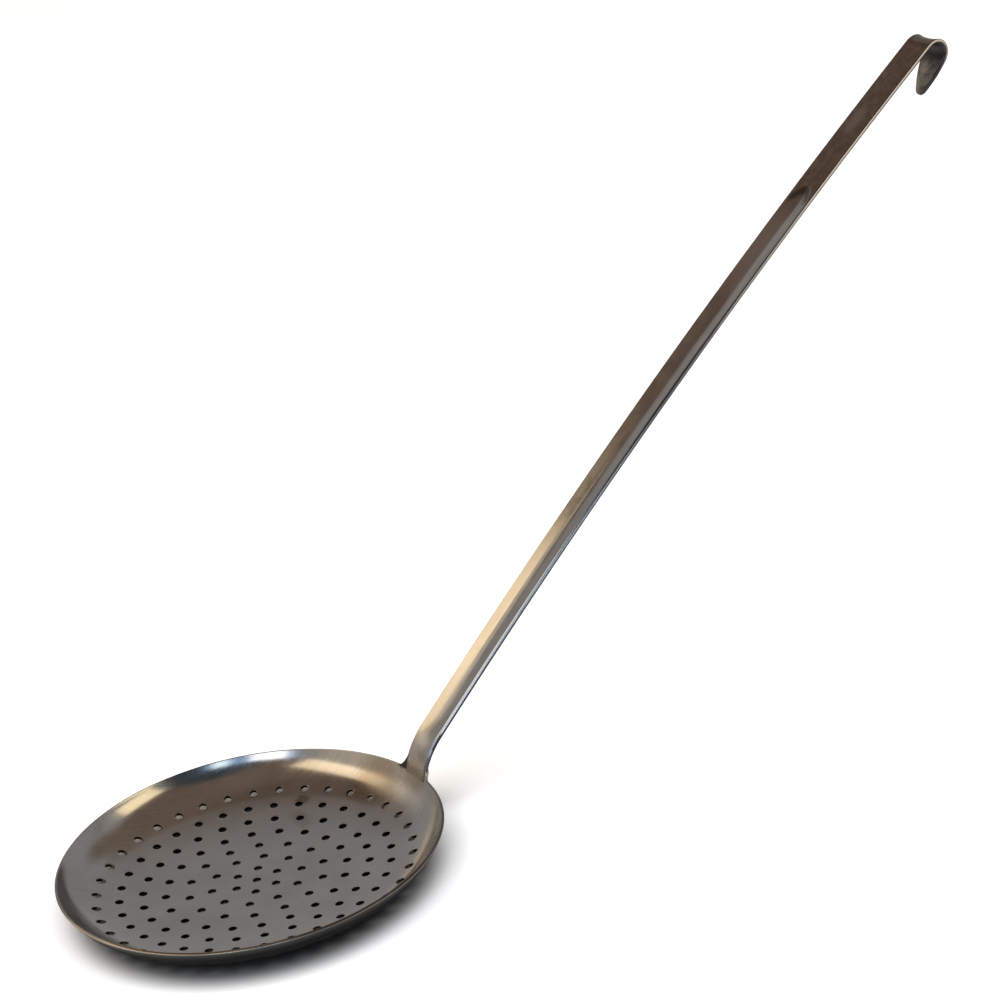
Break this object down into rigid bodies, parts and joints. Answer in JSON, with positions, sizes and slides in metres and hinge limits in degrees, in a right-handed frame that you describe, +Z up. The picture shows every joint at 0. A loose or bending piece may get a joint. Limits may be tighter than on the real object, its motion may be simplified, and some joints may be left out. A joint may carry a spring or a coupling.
{
  "type": "perforated skimmer",
  "caption": "Stainless steel kitchen skimmer: shallow dished bowl with rings of drain holes, butt-welded to a long bowed strip handle with a pressed groove and a rolled hanging hook.",
  "frame": {"origin": "under the middle of the part's bounding box, on the level of the bowl's underside", "axes": "+Z up along the bowl's axis with the rim level, +X along the handle from the bowl to the hook, +Y across the strip"},
  "size_m": [0.4642, 0.16, 0.2527],
  "materials": {
    "bowl_steel": "fine brushed, worn",
    "handle_steel": "polished, worn",
    "weld_steel": "heat-tinted, dressed smooth"
  },
  "bodies": {
    "root": {"bowl": "bowl_steel", "handle": "handle_steel", "weld_bead": "weld_steel"}
  },
  "joints": []
}
